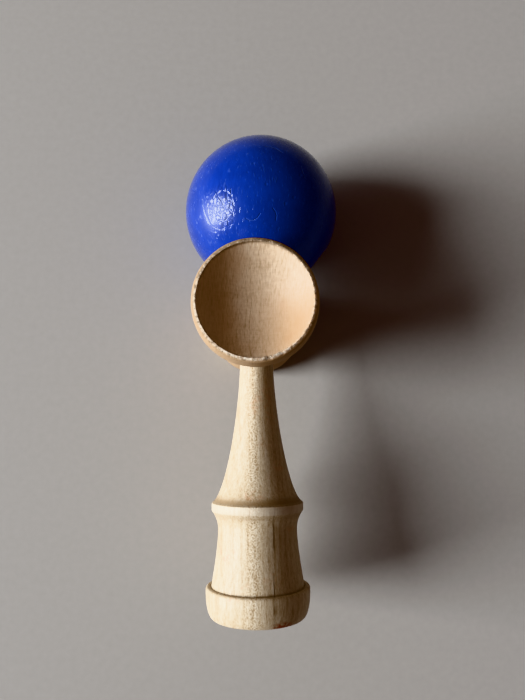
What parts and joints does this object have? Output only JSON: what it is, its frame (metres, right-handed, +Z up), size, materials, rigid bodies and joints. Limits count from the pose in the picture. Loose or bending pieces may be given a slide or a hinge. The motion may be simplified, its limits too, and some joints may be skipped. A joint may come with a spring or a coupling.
{
  "type": "kendama",
  "caption": "Skill toy: turned wooden handle with a spike, cross-piece with a cup at each end, and a bored painted ball that lies on the spike; it stands on the small cup's rim.",
  "frame": {"origin": "centre of the bounding box's bottom face, on the surface that the small cup's rim and the ball rest on", "axes": "+Y along the handle from its base to its spike, +Z up from the small cup to the big cup, +X to the right of the handle seen from above with the spike pointing away"},
  "size_m": [0.06, 0.1825, 0.07],
  "materials": {
    "ken_wood": "pale hardwood, lightly sealed and worn satin",
    "sarado_wood": "tan hardwood, rubbed and nearly matt",
    "tama_paint": "gloss blue paint over wood, finely crazed and scratched"
  },
  "bodies": {
    "ken": {"ken": "ken_wood"},
    "sarado": {"sarado": "sarado_wood"},
    "tama": {"tama": "tama_paint"}
  },
  "joints": [
    {"name": "sarado_slide", "type": "slide", "parent": "ken", "child": "sarado", "axis": [0, 1, 0], "range_m": [0, 0.075]},
    {"name": "tama_slide", "type": "slide", "parent": "sarado", "child": "tama", "axis": [0, 1, 0], "range_m": [0, 0.045]}
  ]
}
